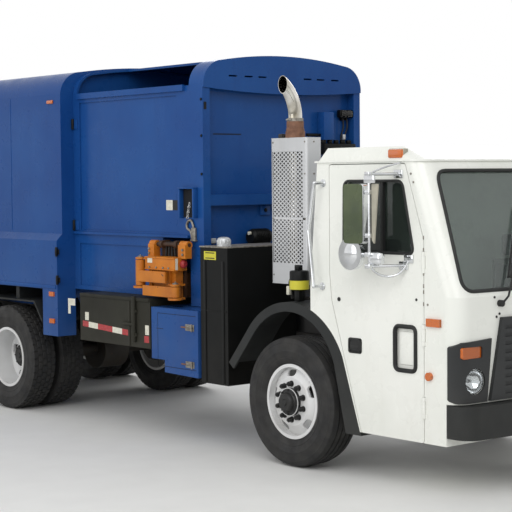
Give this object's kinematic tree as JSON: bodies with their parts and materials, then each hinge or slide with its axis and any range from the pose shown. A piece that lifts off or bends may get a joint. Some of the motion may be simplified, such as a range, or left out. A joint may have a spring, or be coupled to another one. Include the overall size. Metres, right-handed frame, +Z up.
{
  "type": "garbage truck",
  "caption": "Side-loading refuse truck with a low-entry cab, blue hopper and storage body, sliding grabber arm, steered front wheels and driven twin rear wheels.",
  "frame": {"origin": "on the ground under the middle of the overall length and width", "axes": "+X forward along the truck, +Y to its left, +Z up"},
  "size_m": [9.5998, 2.9, 3.465],
  "materials": {
    "chassis_black": "satin",
    "cast_black": "rough",
    "engine_grey": "satin",
    "cab_white": "gloss",
    "cab_glass": "polished",
    "mirror_black": "polished",
    "fender_black": "matte",
    "bumper_white": "gloss",
    "grille_black": "satin",
    "lamp_clear": "polished",
    "lamp_amber": "polished",
    "lamp_red": "polished",
    "seat_cloth": "woven",
    "dash_grey": "grained",
    "handle_chrome": "polished",
    "body_blue": "gloss",
    "packer_steel": "worn",
    "box_black": "satin",
    "tank_aluminium": "brushed",
    "guard_grey": "satin",
    "exhaust_chrome": "polished",
    "cleaner_black": "satin",
    "arm_dark": "worn",
    "arm_black": "satin",
    "arm_orange": "satin",
    "wheel_white": "gloss",
    "tyre_rubber": "matte"
  },
  "bodies": {
    "chassis": {"air_cleaner": "cleaner_black", "arm_guide": "arm_black", "battery_box": "box_black", "body_shell": "body_blue", "cab_roof": "cab_white", "cab_shell": "cab_white", "canopy": "body_blue", "dashboard": "dash_grey", "engine": "engine_grey", "exhaust_guard": "guard_grey", "exhaust_stack": "exhaust_chrome", "frame": "chassis_black", "front_axle": "chassis_black", "front_bumper": "bumper_white", "front_fenders": "fender_black", "fuel_tank": "tank_aluminium", "grab_handles": "handle_chrome", "grille": "grille_black", "headlamps": "lamp_clear", "hopper": "body_blue", "lamp_bezels": "grille_black", "marker_lamps": "lamp_amber", "oil_tank": "box_black", "rear_axles": "chassis_black", "rear_bumper": "chassis_black", "rear_fenders": "fender_black", "seats": "seat_cloth", "steering_wheel": "dash_grey", "tail_lamps": "lamp_red", "tool_box": "body_blue", "windscreen": "cab_glass"},
    "steer_left": {"knuckle_left": "cast_black"},
    "steer_right": {"knuckle_right": "cast_black"},
    "wheel_front_left": {"rim_front_left": "wheel_white", "tyre_front_left": "tyre_rubber"},
    "wheel_front_right": {"rim_front_right": "wheel_white", "tyre_front_right": "tyre_rubber"},
    "wheels_rear_1_left": {"rims_rear_1_left": "wheel_white", "tyres_rear_1_left": "tyre_rubber"},
    "wheels_rear_1_right": {"rims_rear_1_right": "wheel_white", "tyres_rear_1_right": "tyre_rubber"},
    "wheels_rear_2_left": {"rims_rear_2_left": "wheel_white", "tyres_rear_2_left": "tyre_rubber"},
    "wheels_rear_2_right": {"rims_rear_2_right": "wheel_white", "tyres_rear_2_right": "tyre_rubber"},
    "door_left": {"door_left": "cab_white", "door_glass_left": "cab_glass", "mirror_left": "mirror_black"},
    "door_right": {"door_right": "cab_white", "door_glass_right": "cab_glass", "mirror_right": "mirror_black"},
    "tailgate": {"tailgate": "body_blue"},
    "packer": {"packer": "packer_steel"},
    "arm_carriage": {"arm_carriage": "arm_dark"},
    "arm_lift": {"arm_lift": "arm_orange"},
    "finger_front": {"finger_front": "arm_orange"},
    "finger_rear": {"finger_rear": "arm_orange"}
  },
  "joints": [
    {"name": "steer_left", "type": "hinge", "parent": "chassis", "child": "steer_left", "pos_m": [2.85, 0.93, 0.52], "axis": [0, 0, 1], "range_deg": [-35, 35]},
    {"name": "spin_front_left", "type": "hinge", "parent": "steer_left", "child": "wheel_front_left", "pos_m": [2.85, 1.035, 0.52], "axis": [0, 1, 0], "continuous": true},
    {"name": "spin_rear_1_left", "type": "hinge", "parent": "chassis", "child": "wheels_rear_1_left", "pos_m": [-1.39, 0.914, 0.52], "axis": [0, 1, 0], "continuous": true},
    {"name": "spin_rear_2_left", "type": "hinge", "parent": "chassis", "child": "wheels_rear_2_left", "pos_m": [-2.71, 0.914, 0.52], "axis": [0, 1, 0], "continuous": true},
    {"name": "door_left", "type": "hinge", "parent": "chassis", "child": "door_left", "pos_m": [4.333, 1.203, 1.2], "axis": [0, 0, -1], "range_deg": [0, 70]},
    {"name": "steer_right", "type": "hinge", "parent": "chassis", "child": "steer_right", "pos_m": [2.85, -0.93, 0.52], "axis": [0, 0, 1], "range_deg": [-35, 35]},
    {"name": "spin_front_right", "type": "hinge", "parent": "steer_right", "child": "wheel_front_right", "pos_m": [2.85, -1.035, 0.52], "axis": [0, 1, 0], "continuous": true},
    {"name": "spin_rear_1_right", "type": "hinge", "parent": "chassis", "child": "wheels_rear_1_right", "pos_m": [-1.39, -0.914, 0.52], "axis": [0, 1, 0], "continuous": true},
    {"name": "spin_rear_2_right", "type": "hinge", "parent": "chassis", "child": "wheels_rear_2_right", "pos_m": [-2.71, -0.914, 0.52], "axis": [0, 1, 0], "continuous": true},
    {"name": "door_right", "type": "hinge", "parent": "chassis", "child": "door_right", "pos_m": [4.333, -1.203, 1.2], "axis": [0, 0, 1], "range_deg": [0, 70]},
    {"name": "tailgate", "type": "hinge", "parent": "chassis", "child": "tailgate", "pos_m": [-4.373, 0, 3.435], "axis": [0, 1, 0], "range_deg": [0, 80]},
    {"name": "packer", "type": "slide", "parent": "chassis", "child": "packer", "axis": [-1, 0, 0], "range_m": [0, 1.15]},
    {"name": "arm_reach", "type": "slide", "parent": "chassis", "child": "arm_carriage", "axis": [0, -1, 0], "range_m": [0, 1.2]},
    {"name": "arm_lift", "type": "hinge", "parent": "arm_carriage", "child": "arm_lift", "pos_m": [1.105, -1.022, 1.712], "axis": [-1, 0, 0], "range_deg": [0, 150]},
    {"name": "finger_rear", "type": "hinge", "parent": "arm_lift", "child": "finger_rear", "pos_m": [0.81, -1.13, 1.43], "axis": [0, 0, -1], "range_deg": [0, 85]},
    {"name": "finger_front", "type": "hinge", "parent": "arm_lift", "child": "finger_front", "pos_m": [1.32, -1.13, 1.306], "axis": [0, 0, 1], "range_deg": [0, 85]}
  ],
  "couplings": [
    {"joint": "steer_right", "follows": "steer_left", "ratio": 1},
    {"joint": "finger_front", "follows": "finger_rear", "ratio": 1}
  ]
}
